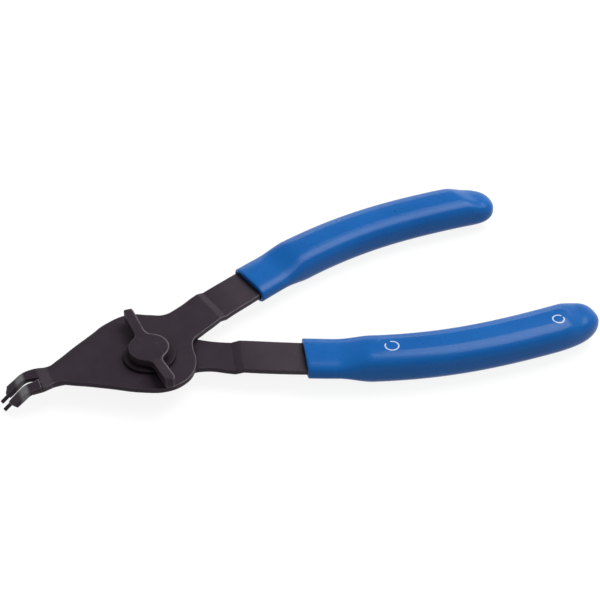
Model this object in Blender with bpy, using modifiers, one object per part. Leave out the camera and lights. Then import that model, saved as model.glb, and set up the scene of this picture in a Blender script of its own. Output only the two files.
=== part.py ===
"""Circlip pliers: two stamped levers on a threaded post, clamped by a wing screw, with slide-on grips."""

import math

import bmesh
import bpy
from mathutils import Matrix, Vector

# Driving dimensions, in metres. The pivot axis is Z, the jaws point to -X and the handles to +X.
PLATE = 0.0016
SEAT_GAP = 0.0003
PIVOT_CLEARANCE = 0.0002

# Stack on the pivot, from the underside of the post up
FLANGE_THICKNESS = 0.0015
FLANGE_RADIUS = 0.0078
NECK_RADIUS = 0.0056
NECK_HALF_FLAT = 0.0047
SLEEVE_RADIUS = 0.0045
POST_FLOOR = 0.0010
WASHER_THICKNESS = 0.0008
WASHER_RADIUS = 0.0081

# Wing screw
SHANK_RADIUS = 0.0030
SHANK_END_GAP = 0.0006
BOSS_RADIUS = 0.00625
BOSS_HEIGHT = 0.0027
WING_REACH = 0.0188
WING_THICKNESS = 0.0031
WING_ROOT_FILLET = 0.0034
WING_END_CROWN = 0.0023
WING_FLARE = 0.0015
WING_UNDERCUT = 0.0003
WING_TIP_DEPTH = 0.0036
WING_TIP_ROUND = 0.0010
SCREW_EDGE = 0.0004
WING_TURN = math.radians(4.6)

# Handles, as a centreline of a bar measured from the line midway between both handles
HANDLE_AXIS_Y = 0.00545
HANDLE_START = (0.0220, 0.0108)
HANDLE_PULL_OUT = (0.0770, 0.0376)
HANDLE_PULL_IN = (0.0965, 0.0366)
HANDLE_TAIL = (0.1380, 0.0353)
BAR_WIDTH = 0.0135
BAR_TAIL_WIDTH = 0.0105
BAR_TAIL_INSET = 0.0080
BAR_FLARE = 0.00054
BAR_FLARE_RUN = 0.0500
JOGGLE_START = 0.0271
JOGGLE_RUN = 0.0026
JOGGLE_TILT = math.radians(13.0)

# Grips
GRIP_LENGTH = 0.0966
GRIP_MOUTH = 0.0212
GRIP_MOUTH_SLANT = 0.16
LOWER_GRIP_SLIDE = 0.0045
COLLAR_LENGTH = 0.0150
SHOULDER_LENGTH = 0.0060
COLLAR_WIDTH = 0.0160
COLLAR_DEPTH = 0.0060
GRIP_WIDTH = 0.0161
GRIP_DEPTH = 0.0104
GRIP_INNER_FLARE = 0.0005
GRIP_INNER_ROUND = 0.0075
GRIP_OUTER_ROUND = 0.0190
GRIP_TIP_SHIFT = 0.0011
GRIP_LIP_LENGTH = 0.0062
GRIP_LIP_RUN = 0.0032
GRIP_LIP_SLANT = 0.25
GRIP_LIP_DEPTH = 0.0078
GRIP_LIP_DROP = 0.0008
GRIP_CLEARANCE = 0.0003

# Jaws, side by side past the place where the upper lever's near half ends
NOSE_END = -0.0344
NOSE_GAP = 0.0003
JAW_SPLIT_Y = 0.00265
JAW_OUTER = 0.00475
FAR_JAW_WAIST = 0.0044
NEAR_JAW_WAIST = 0.0050
JAW_INNER = 0.00120
SLOT_ROOT = 0.00025
STRIP_START = -0.0300
SET_START = -0.0311
SET_DROP = 0.0003
SET_RADIUS = 0.0060
BEND_X = -0.0388
BEND_DROP = 0.0005
BEND_RADIUS = 0.0040
TIP_X = -0.0462
TIP_BELOW_HANDLES = 0.0062
JAW_TAPER = 0.0012
PIN_RADIUS = 0.00062
PIN_LENGTH = 0.0028
PIN_SPACING = 0.0037
TONGUE_NEAR_Y = -0.0003
TONGUE_END = -0.0378

CURVE_STEPS = 5
ROUND_STEPS = 64
CUT_MARGIN = 0.0010

# Levels that follow from the stack
LOWER_LEVEL = FLANGE_THICKNESS + SEAT_GAP + PLATE / 2
UPPER_LEVEL = LOWER_LEVEL + PLATE + SEAT_GAP
HANDLE_LEVEL = (LOWER_LEVEL + UPPER_LEVEL) / 2
UPPER_TOP = UPPER_LEVEL + PLATE / 2
WASHER_BOTTOM = UPPER_TOP + SEAT_GAP
BOSS_BOTTOM = WASHER_BOTTOM + WASHER_THICKNESS + SEAT_GAP
BOSS_TOP = BOSS_BOTTOM + BOSS_HEIGHT
TIP_LEVEL = HANDLE_LEVEL - TIP_BELOW_HANDLES


# Scene helpers
def clear_scene():
    for obj in list(bpy.data.objects):
        bpy.data.objects.remove(obj)


def make_collection(name):
    collection = bpy.data.collections.new(name)
    bpy.context.scene.collection.children.link(collection)
    return collection


def make_material(name, colour, roughness, metallic):
    material = bpy.data.materials.new(name)
    material.use_nodes = True
    shader = material.node_tree.nodes["Principled BSDF"]
    shader.inputs["Base Color"].default_value = (*colour, 1.0)
    shader.inputs["Roughness"].default_value = roughness
    shader.inputs["Metallic"].default_value = metallic
    return material


def add_object(name, data, collection):
    obj = bpy.data.objects.new(name, data)
    collection.objects.link(obj)
    return obj


def mesh_object(name, shape, collection):
    """Object from a bmesh, with its faces turned outward."""
    bmesh.ops.recalc_face_normals(shape, faces=shape.faces)
    mesh = bpy.data.meshes.new(name)
    shape.to_mesh(mesh)
    shape.free()
    return add_object(name, mesh, collection)


def finish(obj, material, sharp_degrees=30.0):
    obj.data.materials.append(material)
    obj.data.shade_smooth()
    obj.data.set_sharp_from_angle(angle=math.radians(sharp_degrees))


def as_cutter(obj):
    obj.hide_render = True
    obj.display_type = "WIRE"
    return obj


def boolean(obj, other, operation):
    modifier = obj.modifiers.new(operation.title(), "BOOLEAN")
    modifier.operation = operation
    modifier.solver = "EXACT"
    modifier.object = other


def bevel(obj, width, segments, degrees=40.0):
    modifier = obj.modifiers.new("Bevel", "BEVEL")
    modifier.width = width
    modifier.segments = segments
    modifier.limit_method = "ANGLE"
    modifier.angle_limit = math.radians(degrees)


# Shape helpers
def flat_outline(name, points, bottom, top, collection):
    """Solid between two levels from a closed outline of (x, y, handle type) points."""
    curve = bpy.data.curves.new(name, "CURVE")
    curve.dimensions = "2D"
    curve.fill_mode = "BOTH"
    curve.extrude = (top - bottom) / 2
    spline = curve.splines.new("BEZIER")
    spline.bezier_points.add(len(points) - 1)
    for knot, (x, y, handle) in zip(spline.bezier_points, points):
        knot.co = (x, y, 0.0)
        knot.handle_left_type = handle
        knot.handle_right_type = handle
    spline.use_cyclic_u = True
    spline.resolution_u = CURVE_STEPS
    drawn = add_object(name + "_outline", curve, collection)
    drawn.location.z = (bottom + top) / 2
    bpy.context.view_layer.update()
    depsgraph = bpy.context.evaluated_depsgraph_get()
    mesh = bpy.data.meshes.new_from_object(drawn.evaluated_get(depsgraph))
    shape = bmesh.new()
    shape.from_mesh(mesh)
    bmesh.ops.transform(shape, matrix=drawn.matrix_world, verts=shape.verts)
    bmesh.ops.remove_doubles(shape, verts=shape.verts, dist=1e-6)
    bpy.data.objects.remove(drawn)
    bpy.data.meshes.remove(mesh)
    return mesh_object(name, shape, collection)


def turned(name, profile, collection):
    """Solid of revolution about Z from (radius, height) points that run down the outer side."""
    mesh = bpy.data.meshes.new(name)
    edges = [(i, (i + 1) % len(profile)) for i in range(len(profile))]
    mesh.from_pydata([(radius, 0.0, height) for radius, height in profile], edges, [])
    obj = add_object(name, mesh, collection)
    screw = obj.modifiers.new("Screw", "SCREW")
    screw.steps = ROUND_STEPS
    screw.render_steps = ROUND_STEPS
    screw.use_merge_vertices = True
    screw.merge_threshold = 0.00001
    return obj


def turned_solid(name, profile, collection):
    """Solid of revolution whose profile starts and ends on the axis."""
    mesh = bpy.data.meshes.new(name)
    edges = [(i, i + 1) for i in range(len(profile) - 1)]
    mesh.from_pydata([(radius, 0.0, height) for radius, height in profile], edges, [])
    obj = add_object(name, mesh, collection)
    screw = obj.modifiers.new("Screw", "SCREW")
    screw.steps = ROUND_STEPS
    screw.render_steps = ROUND_STEPS
    screw.use_merge_vertices = True
    screw.merge_threshold = 0.00001
    return obj


def arc(centre, radius, start, end, steps):
    """Points along a circular arc, in degrees."""
    points = []
    for i in range(steps + 1):
        angle = math.radians(start + (end - start) * i / steps)
        points.append((centre[0] + radius * math.cos(angle), centre[1] + radius * math.sin(angle)))
    return points


def prism(name, points, bottom, top, collection):
    """Solid between two levels from a plain polygon."""
    return flat_outline(name, [(x, y, "VECTOR") for x, y in points], bottom, top, collection)


def double_d(radius, half_flat):
    """Outline of a round with two flats, across Y."""
    edge = math.degrees(math.asin(half_flat / radius))
    return arc((0, 0), radius, -edge, edge, 12) + arc((0, 0), radius, 180 - edge, 180 + edge, 12)


# Handle centreline
def handle_point(share):
    """Point and unit normal of the handle centreline, measured from the line between the handles."""
    a, b, c, d = (Vector(p) for p in (HANDLE_START, HANDLE_PULL_OUT, HANDLE_PULL_IN, HANDLE_TAIL))
    rest = 1 - share
    point = a * rest ** 3 + b * 3 * rest ** 2 * share + c * 3 * rest * share ** 2 + d * share ** 3
    slope = (b - a) * rest ** 2 + (c - b) * 2 * rest * share + (d - c) * share ** 2
    slope.normalize()
    return point, Vector((-slope.y, slope.x))


def handle_distances(steps=400):
    """Distance along the centreline at even shares of the curve."""
    distances = [0.0]
    last = handle_point(0.0)[0]
    for i in range(1, steps + 1):
        point = handle_point(i / steps)[0]
        distances.append(distances[-1] + (point - last).length)
        last = point
    return distances


HANDLE_DISTANCES = handle_distances()


def handle_at(distance):
    """Point and normal at a distance along the centreline, straight past its tail."""
    steps = len(HANDLE_DISTANCES) - 1
    if distance >= HANDLE_DISTANCES[-1]:
        point, normal = handle_point(1.0)
        along = Vector((normal.y, -normal.x))
        return point + along * (distance - HANDLE_DISTANCES[-1]), normal
    index = next(i for i in range(1, steps + 1) if HANDLE_DISTANCES[i] > distance)
    before = HANDLE_DISTANCES[index - 1]
    share = (distance - before) / (HANDLE_DISTANCES[index] - before)
    return handle_point((index - 1 + share) / steps)


def bar_half_width(distance):
    """Half width of the bar, tapering inside the grip."""
    tail = GRIP_MOUTH + GRIP_LENGTH - BAR_TAIL_INSET
    share = min(max((distance - GRIP_MOUTH) / (tail - GRIP_MOUTH), 0.0), 1.0)
    return (BAR_WIDTH + (BAR_TAIL_WIDTH - BAR_WIDTH) * share) / 2


def bar_edge(side, clearance, start, flare):
    """Edge of a handle bar from a start distance to its tail; side is 1 outward and -1 inward."""
    tail = GRIP_MOUTH + GRIP_LENGTH - BAR_TAIL_INSET
    points = []
    stations = 9
    for i in range(stations + 1):
        distance = start + (tail - start) * i / stations
        point, normal = handle_at(distance)
        wider = clearance + flare * max(1 - distance / BAR_FLARE_RUN, 0.0)
        points.append(point + normal * side * (bar_half_width(distance) + wider))
    return points


def bar_tail(clearance):
    """Rounded tail of a handle bar, from its inner to its outer edge."""
    tail = GRIP_MOUTH + GRIP_LENGTH - BAR_TAIL_INSET
    point, normal = handle_at(tail)
    along = Vector((normal.y, -normal.x))
    half = bar_half_width(tail) + clearance
    points = []
    for i in range(1, 6):
        angle = math.pi * i / 6
        points.append(point - normal * half * math.cos(angle) + along * half * 0.5 * math.sin(angle))
    return points


def bar_outline(clearance, start, flare):
    """Inner edge, tail and outer edge of a bar, each as (x, y) from the line between the handles."""
    inner = bar_edge(-1, clearance, start, flare)
    outer = bar_edge(1, clearance, start, 0.0)
    return inner + bar_tail(clearance) + outer[::-1]


# Bending of the nose
def nose_path():
    """Runs of the jaws' mid surface (length, x, z, slope, curvature), from the flat head to the pins."""
    corners = [
        (STRIP_START, UPPER_LEVEL), (SET_START, UPPER_LEVEL), (NOSE_END, UPPER_LEVEL - SET_DROP),
        (BEND_X, UPPER_LEVEL - BEND_DROP), (TIP_X, TIP_LEVEL),
    ]
    radii = [0.0, SET_RADIUS, SET_RADIUS, BEND_RADIUS, 0.0]
    slopes = [math.atan2(z0 - z1, x0 - x1) for (x0, z0), (x1, z1) in zip(corners, corners[1:])]
    trims = [0.0]
    for i in range(1, len(corners) - 1):
        trims.append(abs(radii[i] * math.tan((slopes[i] - slopes[i - 1]) / 2)))
    trims.append(0.0)
    runs = []
    x, z = corners[0]
    for i, slope in enumerate(slopes):
        length = math.dist(corners[i], corners[i + 1]) - trims[i] - trims[i + 1]
        runs.append((length, x, z, slope, 0.0))
        x -= length * math.cos(slope)
        z -= length * math.sin(slope)
        if i + 1 < len(slopes):
            turn = slopes[i + 1] - slope
            curvature = math.copysign(1 / radii[i + 1], turn)
            runs.append((turn / curvature, x, z, slope, curvature))
            x -= (math.sin(slope + turn) - math.sin(slope)) / curvature
            z -= (math.cos(slope) - math.cos(slope + turn)) / curvature
    return runs


NOSE = nose_path()
BLANK_END = STRIP_START - sum(run[0] for run in NOSE)


def nose_at(distance):
    """Position and downward slope of the mid surface at a distance along the nose."""
    for index, (length, x, z, slope, curvature) in enumerate(NOSE):
        if distance <= length or index == len(NOSE) - 1:
            if curvature == 0.0:
                return x - distance * math.cos(slope), z - distance * math.sin(slope), slope
            turned_slope = slope + distance * curvature
            x -= (math.sin(turned_slope) - math.sin(slope)) / curvature
            z -= (math.cos(slope) - math.cos(turned_slope)) / curvature
            return x, z, turned_slope
        distance -= length


def bend_cuts(steps=5):
    """Blank positions where the nose needs an edge across it, so that it can bend there."""
    cuts = []
    start = 0.0
    for length, _, _, _, curvature in NOSE:
        parts = steps if curvature else 1
        cuts += [STRIP_START - start - length * i / parts for i in range(parts)]
        start += length
    return cuts


def cut_across(shape, point, normal):
    everything = shape.verts[:] + shape.edges[:] + shape.faces[:]
    bmesh.ops.bisect_plane(shape, geom=everything, plane_co=point, plane_no=normal, dist=1e-7)


def form_lever(blank, side, level):
    """Joggle the handle to the common level and bend the nose down, on a flat blank."""
    shape = bmesh.new()
    shape.from_mesh(blank.data)
    tilt = Vector((math.cos(JOGGLE_TILT), side * math.sin(JOGGLE_TILT), 0.0))
    origin = Vector((0.0, HANDLE_AXIS_Y, 0.0))
    for distance in (JOGGLE_START, JOGGLE_START + JOGGLE_RUN):
        cut_across(shape, origin + tilt * distance, tilt)
    for position in bend_cuts():
        cut_across(shape, Vector((position, 0.0, 0.0)), Vector((1.0, 0.0, 0.0)))
    for vert in shape.verts:
        if vert.co.x < STRIP_START:
            height = vert.co.z - UPPER_LEVEL
            x, z, slope = nose_at(STRIP_START - vert.co.x)
            vert.co.x = x - height * math.sin(slope)
            vert.co.z = z + height * math.cos(slope)
        elif vert.co.x > 0.0:
            past = (vert.co - origin).dot(tilt) - JOGGLE_START
            share = min(max(past / JOGGLE_RUN, 0.0), 1.0)
            vert.co.z += share * (HANDLE_LEVEL - level)
    shape.to_mesh(blank.data)
    shape.free()


# Levers
def jaw_outline(side):
    """Jaw from its outer edge at the root, round the tip, to its root at the slot."""
    pin = PIN_SPACING / 2
    shoulder = BLANK_END + PIN_LENGTH
    corner = shoulder + JAW_TAPER
    neck = (NOSE_END + BEND_X) / 2
    waist = FAR_JAW_WAIST if side > 0 else NEAR_JAW_WAIST
    points = [
        (NOSE_END, JAW_OUTER, "AUTO"),
        (neck, JAW_OUTER, "AUTO"),
        (BEND_X, waist, "AUTO"),
        (corner, JAW_OUTER, "VECTOR"),
        (shoulder, pin + PIN_RADIUS * 1.3, "VECTOR"),
        (shoulder, pin - PIN_RADIUS * 0.8, "VECTOR"),
        (corner, JAW_INNER, "AUTO"),
        (BEND_X, JAW_INNER * 0.95, "AUTO"),
        (neck, JAW_INNER * 0.8, "AUTO"),
        (NOSE_END, SLOT_ROOT, "VECTOR"),
    ]
    return [(x, JAW_SPLIT_Y + side * y, handle) for x, y, handle in points]


def upper_outline():
    """Blank of the lever that lies on top: it covers the whole head and half of it runs on into a jaw."""
    belly = [
        (-0.0326, -0.0021), (-0.0299, -0.0013), (-0.0240, -0.0037), (-0.0157, -0.0082), (-0.0060, -0.0138),
        (0.0010, -0.0159), (0.0070, -0.0145), (0.0111, -0.0108), (0.0132, -0.0060),
        (0.0140, -0.0005), (0.0153, 0.0031), (0.0190, 0.0057), (0.0240, 0.0086),
    ]
    crest = [
        (0.0155, 0.0200), (0.0102, 0.0182), (0.0058, 0.0198), (0.0000, 0.0222), (-0.0085, 0.0202),
        (-0.0140, 0.0168), (-0.0210, 0.0125), (-0.0275, 0.0082), (-0.0306, 0.0066),
    ]
    bar = [(x, HANDLE_AXIS_Y + y) for x, y in bar_outline(0.0, 0.0035, BAR_FLARE)]
    points = [(NOSE_END, -0.0023, "VECTOR")]
    points += [(x, y, "AUTO") for x, y in belly + bar + crest]
    return points + jaw_outline(1)


def lower_outline():
    """Blank of the lever underneath: its head stays inside the upper one's and ends in a tongue."""
    crest = [
        (-0.0300, 0.0052), (-0.0240, 0.0078), (-0.0150, 0.0132), (-0.0070, 0.0172), (0.0010, 0.0182),
        (0.0075, 0.0166), (0.0118, 0.0140), (0.0136, 0.0100), (0.0155, 0.0066), (0.0192, 0.0035),
        (0.0240, 0.0008),
    ]
    belly = [
        (0.0222, -0.0128), (0.0155, -0.0091), (0.0102, -0.0086), (0.0050, -0.0110), (-0.0010, -0.0124),
        (-0.0080, -0.0096), (-0.0150, -0.0048), (-0.0220, -0.0009), (-0.0285, 0.0004),
    ]
    bar = [(x, HANDLE_AXIS_Y - y) for x, y in bar_outline(0.0, 0.0065, 0.0)]
    tongue = [(NOSE_END, TONGUE_NEAR_Y), (TONGUE_END, TONGUE_NEAR_Y), (TONGUE_END, JAW_SPLIT_Y - JAW_INNER)]
    points = [(x, y, "VECTOR") for x, y in tongue]
    points += [(NOSE_END, JAW_SPLIT_Y - SLOT_ROOT, "VECTOR"), (NOSE_END, 0.0054, "VECTOR")]
    return points + [(x, y, "AUTO") for x, y in crest + bar + belly]


def add_pin(name, side, collection):
    """Round pin along the end of a jaw, with its root inside the jaw."""
    length = PIN_LENGTH + JAW_TAPER
    x0, z0, slope = nose_at(STRIP_START - BLANK_END - length)
    along = Vector((-math.cos(slope), 0.0, -math.sin(slope)))
    middle = Vector((x0, JAW_SPLIT_Y + side * PIN_SPACING / 2, z0)) + along * length / 2
    shape = bmesh.new()
    turn = along.to_track_quat("Z", "Y").to_matrix().to_4x4()
    bmesh.ops.create_cone(
        shape, cap_ends=True, segments=24, radius1=PIN_RADIUS, radius2=PIN_RADIUS, depth=length,
        matrix=Matrix.Translation(middle) @ turn,
    )
    return as_cutter(mesh_object(name, shape, collection))


def slab(name, outline, level, collection):
    return flat_outline(name, outline, level - PLATE / 2, level + PLATE / 2, collection)


def joined(name, pieces, collection):
    """One solid from several overlapping ones."""
    base = pieces[0]
    for piece in pieces[1:]:
        boolean(base, piece, "UNION")
    bpy.context.view_layer.update()
    mesh = bpy.data.meshes.new_from_object(base.evaluated_get(bpy.context.evaluated_depsgraph_get()))
    for piece in pieces:
        bpy.data.objects.remove(piece)
    mesh.name = name
    return add_object(name, mesh, collection)


def lower_blank(parts, cutters):
    """Flat plate whose tongue carries the jaw one step up, level with the other jaw."""
    plate = slab("plate", lower_outline(), LOWER_LEVEL, cutters)
    root = NOSE_END - NOSE_GAP
    outline = [(root, JAW_SPLIT_Y - JAW_OUTER, "VECTOR")] + jaw_outline(-1)[1:-1]
    outline.append((root, JAW_SPLIT_Y - SLOT_ROOT, "VECTOR"))
    jaw = slab("jaw", outline, UPPER_LEVEL, cutters)
    web = [
        (root, TONGUE_NEAR_Y), (TONGUE_END, TONGUE_NEAR_Y), (TONGUE_END, JAW_SPLIT_Y - JAW_INNER),
        (root, JAW_SPLIT_Y - JAW_INNER),
    ]
    step = prism("step", web, LOWER_LEVEL, UPPER_LEVEL, cutters)
    return joined("lower_lever", [plate, jaw, step], parts)


def finish_lever(blank, side, level, hole, cutters, material):
    form_lever(blank, side, level)
    boolean(blank, add_pin(blank.name + "_pin", side, cutters), "UNION")
    boolean(blank, hole, "DIFFERENCE")
    finish(blank, material)
    return blank


# Pivot
def build_post(parts, cutters, material):
    """Flanged post: flat closed head below, a neck with flats in the lower lever, a threaded bore."""
    bore = SHANK_RADIUS + PIVOT_CLEARANCE
    chamfer = FLANGE_THICKNESS / 4
    profile = [
        (0.0, POST_FLOOR), (bore, POST_FLOOR), (bore, UPPER_TOP), (SLEEVE_RADIUS, UPPER_TOP),
        (SLEEVE_RADIUS, FLANGE_THICKNESS), (FLANGE_RADIUS, FLANGE_THICKNESS),
        (FLANGE_RADIUS, chamfer), (FLANGE_RADIUS - chamfer, 0.0), (0.0, 0.0),
    ]
    post = turned_solid("pivot_post", profile, parts)
    neck = prism("neck", double_d(NECK_RADIUS, NECK_HALF_FLAT), FLANGE_THICKNESS / 2,
                 LOWER_LEVEL + PLATE / 2, cutters)
    ring_cutter = turned_solid("neck_bore", [
        (0.0, UPPER_TOP + CUT_MARGIN), (bore, UPPER_TOP + CUT_MARGIN), (bore, POST_FLOOR), (0.0, POST_FLOOR),
    ], cutters)
    boolean(neck, as_cutter(ring_cutter), "DIFFERENCE")
    boolean(post, as_cutter(neck), "UNION")
    finish(post, material)
    return post


def build_washer(parts, material):
    inner = SHANK_RADIUS + SEAT_GAP
    top = WASHER_BOTTOM + WASHER_THICKNESS
    edge = WASHER_THICKNESS / 5
    washer = turned("pivot_washer", [
        (inner, top), (WASHER_RADIUS - edge, top), (WASHER_RADIUS, top - edge),
        (WASHER_RADIUS, WASHER_BOTTOM), (inner, WASHER_BOTTOM),
    ], parts)
    finish(washer, material)
    return washer


def screw_plan():
    """Plan of boss and wings: a round with two arms, and fillets where they meet."""
    half = WING_THICKNESS / 2
    fillet = WING_ROOT_FILLET
    offset = math.sqrt((BOSS_RADIUS + fillet) ** 2 - (half + fillet) ** 2)
    meet = math.degrees(math.atan2(offset, half + fillet))
    quarter = arc((0, 0), BOSS_RADIUS, 0, meet, 8)
    quarter += arc((half + fillet, offset), fillet, meet + 180, 180, 6)[1:]
    start = WING_REACH + CUT_MARGIN / 10 - WING_END_CROWN
    crown = arc((0, 0), 1.0, 0, 90, 7)
    quarter += [(half * abs(x) ** 0.8, start + WING_END_CROWN * y) for x, y in crown]
    left = [(-x, y) for x, y in quarter[-2::-1]]
    upper = quarter + left
    return upper[:-1] + [(-x, -y) for x, y in upper[:-1]]


def screw_elevation():
    """Side view of boss and wings: the wings rise outward and end in a round."""
    tip_x = WING_REACH - WING_TIP_ROUND
    tip_z = BOSS_TOP + WING_FLARE - WING_TIP_ROUND
    rise = math.degrees(math.atan2(WING_FLARE, tip_x - BOSS_RADIUS))
    side = [(BOSS_RADIUS, BOSS_BOTTOM + WING_UNDERCUT)]
    side += arc((tip_x, tip_z - WING_TIP_DEPTH + 2 * WING_TIP_ROUND), WING_TIP_ROUND, rise - 90, 0, 5)
    side += arc((tip_x, tip_z), WING_TIP_ROUND, 0, rise + 90, 5)
    side.append((BOSS_RADIUS, BOSS_TOP))
    base = [(BOSS_RADIUS, BOSS_BOTTOM)]
    right = base + side
    return right + [(-x, z) for x, z in right[::-1]]


def build_wing_screw(parts, cutters, material):
    """Boss with two raised wings, and the shank that screws into the post."""
    screw = prism("wing_screw", screw_plan(), BOSS_BOTTOM - CUT_MARGIN,
                  BOSS_TOP + WING_FLARE + CUT_MARGIN, parts)
    elevation = prism("wing_elevation", screw_elevation(), -BOSS_RADIUS * 2, BOSS_RADIUS * 2, cutters)
    elevation.data.transform(Matrix(((0, 0, 1, 0), (1, 0, 0, 0), (0, 1, 0, 0), (0, 0, 0, 1))))
    shank_end = POST_FLOOR + SHANK_END_GAP
    shank = turned_solid("shank", [
        (0.0, BOSS_BOTTOM + BOSS_HEIGHT / 2), (SHANK_RADIUS, BOSS_BOTTOM + BOSS_HEIGHT / 2),
        (SHANK_RADIUS, shank_end + CUT_MARGIN / 2), (SHANK_RADIUS - CUT_MARGIN / 2, shank_end),
        (0.0, shank_end),
    ], cutters)
    boolean(screw, as_cutter(elevation), "INTERSECT")
    bevel(screw, SCREW_EDGE, 2)
    boolean(screw, as_cutter(shank), "UNION")
    finish(screw, material)
    screw.rotation_euler.z = WING_TURN
    return screw


# Grips
def ease(share):
    share = min(max(share, 0.0), 1.0)
    return share * share * (3 - 2 * share)


def rounding(share, power=2.4):
    """Height of a rounded end, from 0 at its tip to 1 where it is full."""
    past = 1 - min(max(share, 0.0), 1.0)
    return (1 - past ** power) ** (1 / power)


def swelling(distance):
    """Share of the step from the collar to the body, at a distance from the grip's mouth."""
    return ease((distance - COLLAR_LENGTH) / SHOULDER_LENGTH)


def grip_depth(distance, across):
    """Half depth of a grip and drop of its middle, which ends in a thinner lip."""
    left = GRIP_LENGTH - distance
    thin = 1 - ease((left - GRIP_LIP_SLANT * across - GRIP_LIP_LENGTH) / GRIP_LIP_RUN)
    half_depth = (COLLAR_DEPTH + (GRIP_DEPTH - COLLAR_DEPTH) * swelling(distance)) / 2
    half_depth += (GRIP_LIP_DEPTH - GRIP_DEPTH) / 2 * thin
    return half_depth * (0.3 + 0.7 * rounding(left / GRIP_LIP_LENGTH)), GRIP_LIP_DROP * thin


def grip_reach(distance):
    """Reach of a grip to the inside and outside of the handle's centreline."""
    left = GRIP_LENGTH - distance
    half_width = (COLLAR_WIDTH + (GRIP_WIDTH - COLLAR_WIDTH) * swelling(distance)) / 2
    flare = GRIP_INNER_FLARE * (1 - ease(distance / (COLLAR_LENGTH + 2 * SHOULDER_LENGTH)))
    blunt = half_width * 0.1
    inner_tip = blunt + GRIP_TIP_SHIFT
    outer_tip = blunt - GRIP_TIP_SHIFT
    inner = flare + inner_tip + (half_width - inner_tip) * rounding(left / GRIP_INNER_ROUND)
    outer = outer_tip + (half_width - outer_tip) * rounding(left / GRIP_OUTER_ROUND, 2.15)
    return inner, outer


def grip_ring(distance, mouth, side, corners=28, fullness=0.72):
    """Rounded rectangular ring of points across the handle."""
    point, normal = handle_at(mouth + distance)
    along = Vector((normal.y, -normal.x))
    slant = GRIP_MOUTH_SLANT * (1 - ease(distance / (COLLAR_LENGTH + SHOULDER_LENGTH)))
    inner, outer = grip_reach(distance)
    half_width = (inner + outer) / 2
    offset = (outer - inner) / 2
    ring = []
    for i in range(corners):
        angle = 2 * math.pi * i / corners
        across = offset + math.copysign(abs(math.cos(angle)) ** fullness, math.cos(angle)) * half_width
        half_depth, drop = grip_depth(distance, across)
        up = math.copysign(abs(math.sin(angle)) ** fullness, math.sin(angle)) * half_depth
        flat = point + normal * across + along * slant * across
        ring.append(Vector((flat.x, HANDLE_AXIS_Y + side * flat.y, HANDLE_LEVEL - drop + up)))
    return ring


def loft(name, rings, collection):
    """Closed skin through rings of equal count, with flat ends."""
    shape = bmesh.new()
    rows = [[shape.verts.new(point) for point in ring] for ring in rings]
    for row, after in zip(rows, rows[1:]):
        for i in range(len(row)):
            j = (i + 1) % len(row)
            shape.faces.new((row[i], row[j], after[j], after[i]))
    shape.faces.new(rows[0][::-1])
    shape.faces.new(rows[-1])
    return mesh_object(name, shape, collection)


def build_grip(name, side, slide, flare, parts, cutters, material):
    mouth = GRIP_MOUTH + slide
    stations = [0.0, COLLAR_LENGTH * 0.5]
    stations += [COLLAR_LENGTH + SHOULDER_LENGTH * i / 5 for i in range(6)]
    body_start = COLLAR_LENGTH + SHOULDER_LENGTH
    body_end = GRIP_LENGTH - GRIP_OUTER_ROUND
    stations += [body_start + (body_end - body_start) * i / 8 for i in range(1, 9)]
    stations += [body_end + GRIP_OUTER_ROUND * math.sin(math.pi / 2 * i / 14) for i in range(1, 15)]
    grip = loft(name, [grip_ring(station, mouth, side) for station in stations], parts)
    channel = [
        (x, HANDLE_AXIS_Y + side * y)
        for x, y in bar_outline(GRIP_CLEARANCE, mouth - 5 * CUT_MARGIN, flare)
    ]
    half_channel = PLATE / 2 + GRIP_CLEARANCE
    cutter = flat_outline(name + "_channel", [(x, y, "AUTO") for x, y in channel],
                          HANDLE_LEVEL - half_channel, HANDLE_LEVEL + half_channel, cutters)
    boolean(grip, as_cutter(cutter), "DIFFERENCE")
    finish(grip, material, 40.0)
    return grip


def main():
    clear_scene()
    parts = make_collection("circlip_pliers")
    cutters = make_collection("cutters")
    steel = make_material("black_oxide_steel", (0.075, 0.062, 0.066), 0.42, 0.85)
    cast = make_material("black_cast_steel", (0.085, 0.075, 0.082), 0.48, 0.8)
    vinyl = make_material("blue_vinyl", (0.012, 0.105, 0.43), 0.35, 0.0)

    neck_hole = prism("neck_hole", double_d(NECK_RADIUS + PIVOT_CLEARANCE, NECK_HALF_FLAT + PIVOT_CLEARANCE),
                      LOWER_LEVEL - PLATE, LOWER_LEVEL + PLATE / 2 + SEAT_GAP / 2, cutters)
    sleeve_hole = turned_solid("sleeve_hole", [
        (0.0, UPPER_TOP + CUT_MARGIN), (SLEEVE_RADIUS + PIVOT_CLEARANCE, UPPER_TOP + CUT_MARGIN),
        (SLEEVE_RADIUS + PIVOT_CLEARANCE, LOWER_LEVEL), (0.0, LOWER_LEVEL),
    ], cutters)
    finish_lever(lower_blank(parts, cutters), -1, LOWER_LEVEL, as_cutter(neck_hole), cutters, steel)
    upper_blank = slab("upper_lever", upper_outline(), UPPER_LEVEL, parts)
    upper = finish_lever(upper_blank, 1, UPPER_LEVEL, as_cutter(sleeve_hole), cutters, steel)
    build_grip("lower_grip", -1, LOWER_GRIP_SLIDE, 0.0, parts, cutters, vinyl)
    upper_grip = build_grip("upper_grip", 1, 0.0, BAR_FLARE, parts, cutters, vinyl)
    build_post(parts, cutters, cast)
    washer = build_washer(parts, steel)
    screw = build_wing_screw(parts, cutters, cast)

    pivot = add_object("pivot_axis", None, parts)
    upper.parent = pivot
    upper_grip.parent = pivot
    screw.parent = washer


main()
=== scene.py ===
"""Circlip pliers, dressed for the photograph's view."""

import math

import bmesh
import bpy
from mathutils import Matrix, Vector


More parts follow.
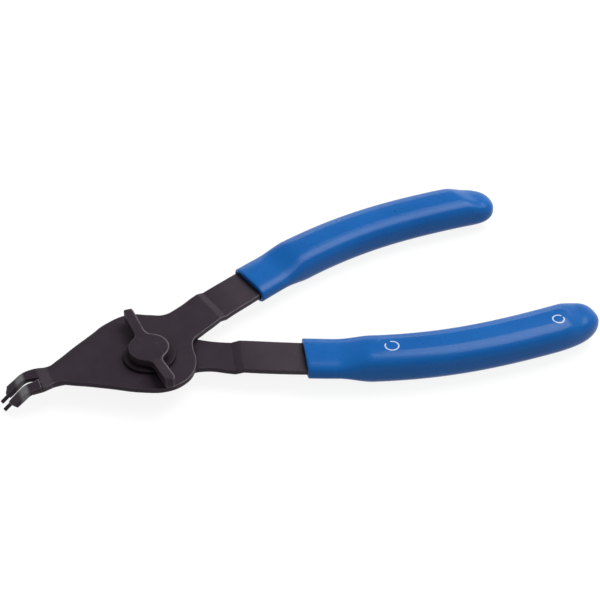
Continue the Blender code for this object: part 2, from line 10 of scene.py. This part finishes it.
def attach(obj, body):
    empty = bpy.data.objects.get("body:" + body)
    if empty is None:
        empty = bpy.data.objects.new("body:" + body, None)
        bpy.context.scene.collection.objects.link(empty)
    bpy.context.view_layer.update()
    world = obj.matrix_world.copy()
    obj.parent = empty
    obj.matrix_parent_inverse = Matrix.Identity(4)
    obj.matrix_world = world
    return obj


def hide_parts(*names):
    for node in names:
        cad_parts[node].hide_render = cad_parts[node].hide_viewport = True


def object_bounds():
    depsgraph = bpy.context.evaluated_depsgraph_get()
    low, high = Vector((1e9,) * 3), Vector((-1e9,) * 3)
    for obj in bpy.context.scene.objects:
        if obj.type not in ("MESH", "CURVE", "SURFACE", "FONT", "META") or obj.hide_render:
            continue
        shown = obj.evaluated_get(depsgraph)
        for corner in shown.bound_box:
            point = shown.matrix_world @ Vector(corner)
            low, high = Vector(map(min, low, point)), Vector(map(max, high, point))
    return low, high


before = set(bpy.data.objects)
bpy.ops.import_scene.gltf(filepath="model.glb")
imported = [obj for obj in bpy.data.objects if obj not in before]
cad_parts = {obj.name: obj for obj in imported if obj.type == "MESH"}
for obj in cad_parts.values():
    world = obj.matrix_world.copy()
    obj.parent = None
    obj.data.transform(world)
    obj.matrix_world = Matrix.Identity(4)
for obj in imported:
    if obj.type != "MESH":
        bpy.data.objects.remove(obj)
cad_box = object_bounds()

# Camera, as fitted to the photograph
ORIGIN_PIXEL = (149.79, 361.08)
FOCAL_PIXELS = 1800.0
ORIGIN_DEPTH = 0.558
AZIMUTH = math.radians(-20.707)
ELEVATION = math.radians(38.5)
IMAGE = 600
SENSOR_WIDTH = 36.0

# Space between the object's lowest point and the floor
FLOOR_GAP = 0.0001

# Handles and grips, with the source's own values
HANDLE_LEVEL = 0.00355
HANDLE_AXIS_Y = 0.00545
HANDLE_KNOTS = ((0.0220, 0.0108), (0.0770, 0.0376), (0.0965, 0.0366), (0.1380, 0.0353))
BAR_WIDTH = 0.0135
BAR_TAIL_WIDTH = 0.0105
BAR_TAIL_INSET = 0.0080
GRIP_LENGTH = 0.0966
GRIP_MOUTH = 0.0212
GRIP_MOUTH_SLANT = 0.16
LOWER_GRIP_SLIDE = 0.0045
COLLAR_LENGTH = 0.0150
SHOULDER_LENGTH = 0.0060
COLLAR_WIDTH = 0.0160
COLLAR_DEPTH = 0.0060
GRIP_WIDTH = 0.0161
GRIP_DEPTH = 0.0104
GRIP_INNER_FLARE = 0.0005
GRIP_INNER_ROUND = 0.0075
GRIP_OUTER_ROUND = 0.0190
GRIP_TIP_SHIFT = 0.0011
GRIP_LIP_LENGTH = 0.0062
GRIP_LIP_SLANT = 0.25

# Shoulder, lip and end of a grip, softer than in the source
SHOULDER_EASE = 0.0055
GRIP_LIP_RUN = 0.0068
GRIP_LIP_DEPTH = 0.0088
GRIP_LIP_DROP = 0.0006
GRIP_END_ROUND = 0.0095
GRIP_END_BLUNT = 0.2
GRIP_TIP_BLUNT = 0.1
END_POWER = 2.1
INNER_POWER = 2.4
OUTER_POWER = 2.15

# Channel for the bar inside a grip, and the rounded edge of its mouth
CHANNEL_SIDE_GAP = 0.0006
CHANNEL_HALF_DEPTH = 0.0011
CHANNEL_SQUARENESS = 0.16
CHANNEL_END_WALL = 0.0090
CHANNEL_SHARES = (1.0, 0.8, 0.6, 0.4, 0.2, 0.05, 0.004, 0.0)
MOUTH_EDGE = 0.00045

# Raised panel on both faces of a grip
PANEL_HALF_WIDTH = 0.0039
PANEL_EDGE = 0.0009
FAR_PANEL_RISE = 0.00006
NEAR_PANEL_RISE = 0.00015
PANEL_START = 0.0215
PANEL_END_INSET = 0.0100
WIDEST_PANEL_SHARE = 0.9

# Section of the skin: share of a flat middle and power of the round beyond it, on the far and near side
FAR_SHAPE = (0.0, 2.78)
NEAR_SHAPE = (0.20, 2.6)

# Fineness of the skin
HANDLE_STEPS = 400
SECTION_STEPS = 20
BODY_STEPS = 96
TIP_STEPS = 48
MOUTH_STEPS = 3

# Steel: direction of the edges that get the most painted highlight (the side facing the key lamp), where the
# bars turn lighter, and the reach and colour of the painted shade in nooks
EDGE_HIGHLIGHT_SIDE = (0.98, -0.10, 0.10)
BAR_FADE = (0.024, 0.040)
PAINTED_SHADE_REACH = 0.0030
PAINTED_SHADE_COLOUR = (0.006, 0.004, 0.006)

# Painted highlights across the jaws, at the neck and the bends: lowest and highest X, softness of both ends,
# share of the highlight colour
JAW_HIGHLIGHT_BANDS = ((-0.0344, -0.0311, 0.0006, 0.15), (-0.0412, -0.0388, 0.0007, 0.95))

# Vinyl: its two blues, its scuffs and the printed signs
VINYL_BLUES = ((0.0045, 0.112, 0.405), (0.0065, 0.128, 0.445))
VINYL_SCUFF = (0.03, 0.17, 0.48)
SIGN_COLOUR = (0.62, 0.70, 0.86)

# Ring signs on the lower grip's panel: middle, radius, and direction and half angle of the gap in degrees
RING_STROKE = 0.00021
RING_SIGNS = ((0.0705, -0.0255, 0.0021, 106.0, 24.0), (0.1246, -0.0319, 0.0018, 20.0, 12.0))


# Camera and lights
def place_camera():
    """Camera that shows the pivot axis, at the handles' level, at its pixel in the photograph."""
    back = Vector((
        math.sin(AZIMUTH) * math.cos(ELEVATION),
        -math.cos(AZIMUTH) * math.cos(ELEVATION),
        math.sin(ELEVATION),
    ))
    right = Vector((math.cos(AZIMUTH), math.sin(AZIMUTH), 0.0))
    up = back.cross(right)
    across = (ORIGIN_PIXEL[0] - IMAGE / 2) / FOCAL_PIXELS * ORIGIN_DEPTH
    down = (ORIGIN_PIXEL[1] - IMAGE / 2) / FOCAL_PIXELS * ORIGIN_DEPTH
    place = Vector((0.0, 0.0, HANDLE_LEVEL)) + back * ORIGIN_DEPTH - right * across + up * down
    camera = bpy.data.cameras.new("camera")
    camera.sensor_width = SENSOR_WIDTH
    camera.lens = FOCAL_PIXELS / IMAGE * SENSOR_WIDTH
    camera.clip_start = 0.01
    camera.clip_end = 20.0
    holder = bpy.data.objects.new("camera", camera)
    bpy.context.scene.collection.objects.link(holder)
    holder.matrix_world = Matrix.Translation(place) @ Matrix((right, up, back)).transposed().to_4x4()
    bpy.context.scene.camera = holder


def area_light(name, place, target, size, power):
    """Rectangular lamp that points at a target."""
    light = bpy.data.lights.new(name, "AREA")
    light.shape = "RECTANGLE"
    light.size, light.size_y = size
    light.energy = power
    holder = bpy.data.objects.new(name, light)
    bpy.context.scene.collection.objects.link(holder)
    holder.location = place
    aim = Vector(target) - Vector(place)
    holder.rotation_euler = aim.to_track_quat("-Z", "Y").to_euler()


# Node helpers
def new_material(name):
    material = bpy.data.materials.new(name)
    material.use_nodes = True
    tree = material.node_tree
    return material, tree, tree.nodes["Principled BSDF"]


def node(tree, kind, **settings):
    made = tree.nodes.new(kind)
    for key, value in settings.items():
        setattr(made, key, value)
    return made


def feed(tree, target, value):
    """Links an output to an input, or sets the input to a plain value."""
    if isinstance(value, bpy.types.NodeSocket):
        tree.links.new(value, target)
    else:
        target.default_value = value


def math_node(tree, operation, a, b=0.0, clamp=False):
    made = node(tree, "ShaderNodeMath", operation=operation, use_clamp=clamp)
    feed(tree, made.inputs[0], a)
    feed(tree, made.inputs[1], b)
    return made.outputs[0]


def noise(tree, place, scale, detail=3.0, rough=0.55):
    made = node(tree, "ShaderNodeTexNoise")
    feed(tree, made.inputs["Vector"], place)
    made.inputs["Scale"].default_value = scale
    made.inputs["Detail"].default_value = detail
    made.inputs["Roughness"].default_value = rough
    return made.outputs["Fac"]


def spread(tree, value, low, high, to_low=0.0, to_high=1.0):
    """Smooth step of a value between two limits."""
    made = node(tree, "ShaderNodeMapRange", interpolation_type="SMOOTHSTEP")
    feed(tree, made.inputs["Value"], value)
    made.inputs["From Min"].default_value = low
    made.inputs["From Max"].default_value = high
    made.inputs["To Min"].default_value = to_low
    made.inputs["To Max"].default_value = to_high
    return made.outputs[0]


def mix_colour(tree, share, a, b):
    made = node(tree, "ShaderNodeMix", data_type="RGBA")
    feed(tree, made.inputs["Factor"], share)
    feed(tree, made.inputs["A"], (*a, 1.0) if isinstance(a, tuple) else a)
    feed(tree, made.inputs["B"], (*b, 1.0) if isinstance(b, tuple) else b)
    return made.outputs["Result"]


def rounded_normal(tree, radius):
    made = node(tree, "ShaderNodeBevel", samples=8)
    made.inputs["Radius"].default_value = radius
    return made.outputs[0]


def dot_product(tree, a, b):
    made = node(tree, "ShaderNodeVectorMath", operation="DOT_PRODUCT")
    feed(tree, made.inputs[0], a)
    feed(tree, made.inputs[1], b)
    return made.outputs["Value"]


def edge_mask(tree, radius):
    """High where a rounded normal turns away from the face's own, and highest on the side facing the key
    lamp: edge wear with a painted highlight.
    """
    rounded = rounded_normal(tree, radius)
    turned = dot_product(tree, rounded, node(tree, "ShaderNodeNewGeometry").outputs["Normal"])
    edge = spread(tree, math_node(tree, "SUBTRACT", 1.0, turned, clamp=True), 0.01, 0.12)
    own = node(tree, "ShaderNodeVectorTransform", vector_type="NORMAL")
    own.convert_from = "WORLD"
    own.convert_to = "OBJECT"
    feed(tree, own.inputs[0], rounded)
    highlight_side = spread(tree, dot_product(tree, own.outputs[0], EDGE_HIGHLIGHT_SIDE), 0.0, 0.55, 0.35, 1.0)
    return math_node(tree, "MULTIPLY", edge, highlight_side)


def bump(tree, height, strength, distance, normal=None):
    made = node(tree, "ShaderNodeBump")
    made.inputs["Strength"].default_value = strength
    made.inputs["Distance"].default_value = distance
    feed(tree, made.inputs["Height"], height)
    if normal is not None:
        feed(tree, made.inputs["Normal"], normal)
    return made.outputs[0]


def object_place(tree):
    return node(tree, "ShaderNodeTexCoord").outputs["Object"]


# Materials
def steel_material(name, dark, light, bare_and_highlight, roughness, grain, rim, edge_wear_and_highlight, bar_tone=0.0, painted_highlight_bands=()):
    """Black oxide on steel: blotchy and grainy, with lighter bars, painted highlights in bands, bare metal
    with a painted highlight along edges, and painted shade in nooks.
    """
    material, tree, shader = new_material(name)
    place = object_place(tree)
    blotch = spread(tree, noise(tree, place, 90.0, 4.0), 0.35, 0.68)
    colour = mix_colour(tree, blotch, dark, light)
    fine = noise(tree, place, grain, 3.0, 0.6)
    speck = spread(tree, noise(tree, place, 900.0, 2.0), 0.66, 0.80, 0.0, 0.12)
    colour = mix_colour(tree, speck, colour, bare_and_highlight)
    along = node(tree, "ShaderNodeSeparateXYZ")
    feed(tree, along.inputs[0], place)
    colour = mix_colour(tree, spread(tree, along.outputs[0], *BAR_FADE, 0.0, bar_tone), colour, bare_and_highlight)
    # Painted highlights: bands along X lightened towards the highlight colour.
    for low, high, soft, share in painted_highlight_bands:
        rise = spread(tree, along.outputs[0], low - soft, low + soft)
        fall = spread(tree, along.outputs[0], high - soft, high + soft, 1.0, 0.0)
        painted_highlight = math_node(tree, "MULTIPLY", math_node(tree, "MULTIPLY", rise, fall), share)
        colour = mix_colour(tree, painted_highlight, colour, bare_and_highlight)
    # Edges: bare metal from wear with a painted highlight, strongest on the side facing the key lamp.
    edge = math_node(tree, "MULTIPLY", edge_mask(tree, rim), edge_wear_and_highlight)
    patchy = spread(tree, noise(tree, place, 260.0, 3.0), 0.30, 0.62, 0.55, 1.0)
    wear_and_highlight = math_node(tree, "MULTIPLY", edge, patchy)
    colour = mix_colour(tree, wear_and_highlight, colour, bare_and_highlight)
    # Painted shade: colour darkened towards near-black where ambient occlusion finds nearby surfaces.
    occlusion = node(tree, "ShaderNodeAmbientOcclusion", samples=8)
    occlusion.inputs["Distance"].default_value = PAINTED_SHADE_REACH
    painted_shade = spread(tree, occlusion.outputs["AO"], 0.35, 0.90, 0.75, 0.0)
    colour = mix_colour(tree, painted_shade, colour, PAINTED_SHADE_COLOUR)
    feed(tree, shader.inputs["Base Color"], colour)
    rough = math_node(tree, "ADD", roughness - 0.06, math_node(tree, "MULTIPLY", fine, 0.14))
    rough = math_node(tree, "SUBTRACT", rough, math_node(tree, "MULTIPLY", wear_and_highlight, 0.10))
    feed(tree, shader.inputs["Roughness"], rough)
    shader.inputs["Metallic"].default_value = 0.08
    shader.inputs["Specular IOR Level"].default_value = 0.14
    feed(tree, shader.inputs["Normal"], bump(tree, fine, 0.25, 0.00006, rounded_normal(tree, rim)))
    return material


def ring_sign(tree, place, x, y, radius, gap, half_gap):
    """Share of a printed ring, open towards one side, on the top face."""
    flat = node(tree, "ShaderNodeVectorMath", operation="MULTIPLY_ADD")
    feed(tree, flat.inputs[0], place)
    flat.inputs[1].default_value = (1.0, 1.0, 0.0)
    flat.inputs[2].default_value = (-x, -y, 0.0)
    offset = flat.outputs["Vector"]
    length = node(tree, "ShaderNodeVectorMath", operation="LENGTH")
    feed(tree, length.inputs[0], offset)
    distance = length.outputs["Value"]
    off_line = math_node(tree, "ABSOLUTE", math_node(tree, "SUBTRACT", distance, radius))
    line = spread(tree, off_line, RING_STROKE * 0.7, RING_STROKE * 1.3, 1.0, 0.0)
    gap = math.radians(gap)
    toward = dot_product(tree, offset, (math.cos(gap), math.sin(gap), 0.0))
    turn = math_node(tree, "DIVIDE", toward, distance)
    limit = math.cos(math.radians(half_gap))
    line = math_node(tree, "MULTIPLY", line, spread(tree, turn, limit - 0.01, limit + 0.01, 1.0, 0.0))
    height = node(tree, "ShaderNodeSeparateXYZ")
    feed(tree, height.inputs[0], place)
    return math_node(tree, "MULTIPLY", line, math_node(tree, "GREATER_THAN", height.outputs[2], HANDLE_LEVEL))


def vinyl_material(name, signs=()):
    """Satin moulded vinyl: blue, slightly mottled and scuffed, with a soft skin and any ring signs."""
    material, tree, shader = new_material(name)
    place = object_place(tree)
    cloud = spread(tree, noise(tree, place, 45.0, 3.0), 0.30, 0.70)
    colour = mix_colour(tree, cloud, *VINYL_BLUES)
    scuff = spread(tree, noise(tree, place, 220.0, 4.0, 0.6), 0.66, 0.84, 0.0, 0.25)
    colour = mix_colour(tree, scuff, colour, VINYL_SCUFF)
    for sign in signs:
        colour = mix_colour(tree, ring_sign(tree, place, *sign), colour, SIGN_COLOUR)
    feed(tree, shader.inputs["Base Color"], colour)
    skin = noise(tree, place, 700.0, 2.0)
    rough = math_node(tree, "ADD", 0.26, math_node(tree, "MULTIPLY", skin, 0.04))
    feed(tree, shader.inputs["Roughness"], rough)
    shader.inputs["Specular IOR Level"].default_value = 0.19
    feed(tree, shader.inputs["Normal"], bump(tree, skin, 0.02, 0.00002))
    return material


def seen_as(tree, surface, backdrop):
    """Backdrop for camera, glossy and transmitted rays, surface for the light that spreads."""
    path = node(tree, "ShaderNodeLightPath")
    seen = math_node(tree, "MAXIMUM", path.outputs["Is Camera Ray"], path.outputs["Is Glossy Ray"])
    seen = math_node(tree, "MAXIMUM", seen, path.outputs["Is Transmission Ray"])
    mix = node(tree, "ShaderNodeMixShader")
    feed(tree, mix.inputs[0], seen)
    feed(tree, mix.inputs[1], surface)
    feed(tree, mix.inputs[2], backdrop)
    return mix.outputs[0]


def floor_material():
    """Pale floor: seen nearly white, and darker only where the object shades it."""
    material, tree, shader = new_material("floor")
    shader.inputs["Base Color"].default_value = (0.4, 0.4, 0.4, 1.0)
    shader.inputs["Roughness"].default_value = 0.9
    shader.inputs["Specular IOR Level"].default_value = 0.0
    glow = node(tree, "ShaderNodeEmission")
    glow.inputs["Strength"].default_value = 0.88
    paper = node(tree, "ShaderNodeBsdfDiffuse")
    paper.inputs["Color"].default_value = (0.16, 0.16, 0.16, 1.0)
    both = node(tree, "ShaderNodeAddShader")
    feed(tree, both.inputs[0], glow.outputs[0])
    feed(tree, both.inputs[1], paper.outputs[0])
    out = tree.nodes["Material Output"]
    feed(tree, out.inputs["Surface"], seen_as(tree, shader.outputs[0], both.outputs[0]))
    return material


def set_world(ambient, ceiling):
    """Even room light; what is seen is a white backdrop that darkens towards the ceiling."""
    world = bpy.data.worlds.new("world")
    world.use_nodes = True
    tree = world.node_tree
    room = tree.nodes["Background"]
    room.inputs["Color"].default_value = (ambient, ambient, ambient, 1.0)
    room.inputs["Strength"].default_value = 1.0
    height = node(tree, "ShaderNodeSeparateXYZ")
    feed(tree, height.inputs[0], node(tree, "ShaderNodeTexCoord").outputs["Generated"])
    fall = spread(tree, height.outputs[2], 0.12, 0.50)
    backdrop = node(tree, "ShaderNodeBackground")
    feed(tree, backdrop.inputs["Color"], mix_colour(tree, fall, (1.0, 1.0, 1.0), (ceiling, ceiling, ceiling)))
    backdrop.inputs["Strength"].default_value = 1.0
    out = tree.nodes["World Output"]
    feed(tree, out.inputs["Surface"], seen_as(tree, room.outputs[0], backdrop.outputs[0]))
    bpy.context.scene.world = world


def add_floor(level):
    shape = bmesh.new()
    bmesh.ops.create_grid(shape, x_segments=1, y_segments=1, size=6.0)
    mesh = bpy.data.meshes.new("floor")
    shape.to_mesh(mesh)
    shape.free()
    mesh.materials.append(floor_material())
    floor = bpy.data.objects.new("floor", mesh)
    floor.location.z = level
    bpy.context.scene.collection.objects.link(floor)


# Grips
def handle_point(share):
    """Point and unit normal of the handle centreline, measured from the line between the handles."""
    a, b, c, d = (Vector(knot) for knot in HANDLE_KNOTS)
    rest = 1 - share
    point = a * rest ** 3 + b * 3 * rest ** 2 * share + c * 3 * rest * share ** 2 + d * share ** 3
    slope = (b - a) * rest ** 2 + (c - b) * 2 * rest * share + (d - c) * share ** 2
    slope.normalize()
    return point, Vector((-slope.y, slope.x))


def handle_distances():
    """Distance along the centreline at each of its steps."""
    distances = [0.0]
    last = handle_point(0.0)[0]
    for i in range(1, HANDLE_STEPS + 1):
        point = handle_point(i / HANDLE_STEPS)[0]
        distances.append(distances[-1] + (point - last).length)
        last = point
    return distances


HANDLE_DISTANCES = handle_distances()


def handle_at(distance):
    """Point and normal at a distance along the centreline, straight past its tail."""
    if distance >= HANDLE_DISTANCES[-1]:
        point, normal = handle_point(1.0)
        along = Vector((normal.y, -normal.x))
        return point + along * (distance - HANDLE_DISTANCES[-1]), normal
    index = next(i for i, reached in enumerate(HANDLE_DISTANCES) if reached > distance)
    before = HANDLE_DISTANCES[index - 1]
    share = (distance - before) / (HANDLE_DISTANCES[index] - before)
    return handle_point((index - 1 + share) / HANDLE_STEPS)


def ease(share):
    """Smooth step from 0 to 1."""
    share = min(max(share, 0.0), 1.0)
    return share * share * (3 - 2 * share)


def rounding(share, power):
    """Height of a quarter of a superellipse, from 0 at its end to 1."""
    past = 1 - min(max(share, 0.0), 1.0)
    return (1 - past ** power) ** (1 / power)


def swelling(distance):
    """Share of the step from collar to grip, which starts early and softly."""
    return ease((distance - COLLAR_LENGTH + SHOULDER_EASE) / (SHOULDER_LENGTH + SHOULDER_EASE))


def grip_depth(distance, across):
    """Half depth of a grip and drop of its middle, which ends in a thinner lip."""
    left = GRIP_LENGTH - distance
    thin = 1 - ease((left - GRIP_LIP_SLANT * across - GRIP_LIP_LENGTH) / GRIP_LIP_RUN)
    half_depth = (COLLAR_DEPTH + (GRIP_DEPTH - COLLAR_DEPTH) * swelling(distance)) / 2
    half_depth += (GRIP_LIP_DEPTH - GRIP_DEPTH) / 2 * thin
    half_depth *= GRIP_END_BLUNT + (1 - GRIP_END_BLUNT) * rounding(left / GRIP_END_ROUND, END_POWER)
    return half_depth, GRIP_LIP_DROP * thin


def grip_reach(distance):
    """Reach of a grip to the inside and outside of the handle's centreline."""
    left = GRIP_LENGTH - distance
    half_width = (COLLAR_WIDTH + (GRIP_WIDTH - COLLAR_WIDTH) * swelling(distance)) / 2
    flare = GRIP_INNER_FLARE * (1 - ease(distance / (COLLAR_LENGTH + 2 * SHOULDER_LENGTH)))
    blunt = half_width * GRIP_TIP_BLUNT
    inner_tip = blunt + GRIP_TIP_SHIFT
    outer_tip = blunt - GRIP_TIP_SHIFT
    inner = flare + inner_tip + (half_width - inner_tip) * rounding(left / GRIP_INNER_ROUND, INNER_POWER)
    outer = outer_tip + (half_width - outer_tip) * rounding(left / GRIP_OUTER_ROUND, OUTER_POWER)
    return inner, outer


def panel_share(distance, across):
    """Share of the raised panel's rise, which has rounded ends."""
    left = GRIP_LENGTH - PANEL_END_INSET - distance
    start = distance - PANEL_START
    short = min(start, left)
    if short < 0.0:
        return 0.0
    past = max(PANEL_HALF_WIDTH - short, 0.0)
    return ease((PANEL_HALF_WIDTH - math.hypot(past, across)) / PANEL_EDGE)


def section_height(out, shape):
    """Share of the half depth at a share of the half width."""
    flat, power = shape
    past = max(out - flat, 0.0) / (1 - flat)
    return max(1 - past ** power, 0.0) ** (1 / power)


def section_side(shape, half_width):
    """Shares of half width and half depth from a side's widest point inwards, closer at the panel's edge."""
    power = shape[1]
    panel = min(PANEL_HALF_WIDTH / half_width, WIDEST_PANEL_SHARE)
    outs = []
    for i in range(SECTION_STEPS):
        outs.append(panel + (1 - panel) * math.cos(math.pi / 2 * i / SECTION_STEPS) ** (2 / power))
    edge = PANEL_EDGE / PANEL_HALF_WIDTH
    outs += [panel * (1 - edge * past) for past in (0.0, 0.25, 0.5, 0.75, 1.0)]
    outs += [panel * 0.6, panel * 0.3]
    return [(out, section_height(out, shape)) for out in outs]


def grip_ring(distance, mouth, side, rise, shrink):
    """Rounded ring of points across the handle, with the panel on both faces."""
    point, normal = handle_at(mouth + distance)
    along = Vector((normal.y, -normal.x))
    slant = GRIP_MOUTH_SLANT * (1 - ease(distance / (COLLAR_LENGTH + SHOULDER_LENGTH)))
    inner, outer = grip_reach(distance)
    half_width = (inner + outer) / 2 - shrink
    offset = (outer - inner) / 2
    outer_shape, inner_shape = (FAR_SHAPE, NEAR_SHAPE) if side > 0 else (NEAR_SHAPE, FAR_SHAPE)
    face = section_side(outer_shape, half_width) + [(0.0, 1.0)]
    face += [(-out, height) for out, height in section_side(inner_shape, half_width)[::-1]]
    under = [(out, -height) for out, height in face[-2:0:-1]]
    ring = []
    for out, height in face + under:
        across = offset + out * half_width
        half_depth, drop = grip_depth(distance, across)
        up = height * (half_depth - shrink)
        up += math.copysign(rise * panel_share(distance, across - offset), height)
        flat = point + normal * across + along * slant * across
        ring.append(Vector((flat.x, HANDLE_AXIS_Y + side * flat.y, HANDLE_LEVEL - drop + up)))
    return ring


def squared(part):
    """Cosine or sine of a circle, pushed out towards a rectangle."""
    return math.copysign(abs(part) ** CHANNEL_SQUARENESS, part)


def channel_ring(distance, mouth, side, corners):
    """Nearly rectangular ring round the bar inside the grip."""
    point, normal = handle_at(mouth + distance)
    along = Vector((normal.y, -normal.x))
    slant = GRIP_MOUTH_SLANT * (1 - ease(distance / (COLLAR_LENGTH + SHOULDER_LENGTH)))
    tail = GRIP_MOUTH + GRIP_LENGTH - BAR_TAIL_INSET
    share = min(max((distance + mouth - GRIP_MOUTH) / (tail - GRIP_MOUTH), 0.0), 1.0)
    half_width = (BAR_WIDTH + (BAR_TAIL_WIDTH - BAR_WIDTH) * share) / 2 + CHANNEL_SIDE_GAP
    ring = []
    for i in range(corners):
        angle = 2 * math.pi * i / corners
        across = squared(math.cos(angle)) * half_width
        up = squared(math.sin(angle)) * CHANNEL_HALF_DEPTH
        flat = point + normal * across + along * slant * across
        ring.append(Vector((flat.x, HANDLE_AXIS_Y + side * flat.y, HANDLE_LEVEL + up)))
    return ring


def loft(name, rings):
    """Closed skin through rings of equal count, capped at both ends."""
    shape = bmesh.new()
    rows = [[shape.verts.new(point) for point in ring] for ring in rings]
    count = len(rings[0])
    for row, after in zip(rows, rows[1:]):
        for i in range(count):
            j = (i + 1) % count
            shape.faces.new((row[i], row[j], after[j], after[i]))
    for row in (rows[0], rows[-1]):
        middle = shape.verts.new(sum((vert.co for vert in row), Vector()) / count)
        for i in range(count):
            shape.faces.new((row[i], row[(i + 1) % count], middle))
    bmesh.ops.recalc_face_normals(shape, faces=shape.faces)
    mesh = bpy.data.meshes.new(name)
    shape.to_mesh(mesh)
    shape.free()
    mesh.shade_smooth()
    made = bpy.data.objects.new(name, mesh)
    bpy.context.scene.collection.objects.link(made)
    return made


def grip_stations():
    """Distances from the mouth and insets of a grip's outer rings: rounded mouth, body and tip."""
    stations = []
    for i in range(MOUTH_STEPS + 1):
        turn = math.pi / 2 * i / MOUTH_STEPS
        stations.append((MOUTH_EDGE * (1 - math.cos(turn)), MOUTH_EDGE * (1 - math.sin(turn))))
    body_end = GRIP_LENGTH - GRIP_OUTER_ROUND
    for i in range(1, BODY_STEPS + 1):
        stations.append((MOUTH_EDGE + (body_end - MOUTH_EDGE) * i / BODY_STEPS, 0.0))
    for i in range(1, TIP_STEPS + 1):
        stations.append((body_end + GRIP_OUTER_ROUND * math.sin(math.pi / 2 * i / TIP_STEPS), 0.0))
    return stations


def build_grip(name, side, slide, rise, body, stands_for, material):
    """Smooth skin of a grip, with the channel that its bar sits in."""
    mouth = GRIP_MOUTH + slide
    depth = GRIP_LENGTH - CHANNEL_END_WALL - slide
    outside = [grip_ring(distance, mouth, side, rise, shrink) for distance, shrink in grip_stations()]
    corners = len(outside[0])
    inside = [channel_ring(depth * share, mouth, side, corners) for share in CHANNEL_SHARES]
    grip = loft(name, inside + outside)
    grip.data.materials.append(material)
    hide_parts(stands_for)
    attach(grip, body)


def dress(name, material):
    """Gives every material slot of a CAD node the same material."""
    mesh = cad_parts[name].data
    for slot in range(len(mesh.materials)):
        mesh.materials[slot] = material


place_camera()
bpy.context.scene.view_settings.view_transform = "Standard"
set_world(ambient=0.45, ceiling=0.12)
area_light("key", place=(0.45, 0.12, 0.68), target=(0.04, 0.01, 0.0), size=(0.55, 0.55), power=4.9)
area_light("strip", place=(0.32, 0.80, 0.26), target=(0.08, 0.02, 0.0), size=(0.60, 0.08), power=0.35)
add_floor(min(corner[2] for corner in cad_box) - FLOOR_GAP)

lever_steel = steel_material(
    "lever_steel", dark=(0.0315, 0.0205, 0.031), light=(0.0385, 0.0265, 0.038), bare_and_highlight=(0.21, 0.20, 0.215),
    roughness=0.44, grain=2600.0, rim=0.0007, edge_wear_and_highlight=0.85, bar_tone=0.10, painted_highlight_bands=JAW_HIGHLIGHT_BANDS,
)
# Washer steel darker than the lever steel: painted shade under the boss.
washer_steel_shaded = steel_material(
    "washer_steel_shaded", dark=(0.022, 0.0150, 0.0215), light=(0.028, 0.0195, 0.0275), bare_and_highlight=(0.11, 0.10, 0.11),
    roughness=0.44, grain=2600.0, rim=0.0003, edge_wear_and_highlight=0.25,
)
cast_steel = steel_material(
    "cast_steel", dark=(0.030, 0.0190, 0.0295), light=(0.037, 0.0250, 0.0365), bare_and_highlight=(0.21, 0.195, 0.21),
    roughness=0.50, grain=1700.0, rim=0.0010, edge_wear_and_highlight=0.9,
)
plain_vinyl = vinyl_material("vinyl")
printed_vinyl = vinyl_material("vinyl_with_signs", RING_SIGNS)
for name in ("upper_lever", "lower_lever"):
    dress(name, lever_steel)
dress("pivot_washer", washer_steel_shaded)
for name in ("wing_screw", "pivot_post"):
    dress(name, cast_steel)
build_grip(
    "upper_grip_skin", side=1, slide=0.0, rise=FAR_PANEL_RISE,
    body="moving_lever", stands_for="upper_grip", material=plain_vinyl,
)
build_grip(
    "lower_grip_skin", side=-1, slide=LOWER_GRIP_SLIDE, rise=NEAR_PANEL_RISE,
    body="fixed_lever", stands_for="lower_grip", material=printed_vinyl,
)
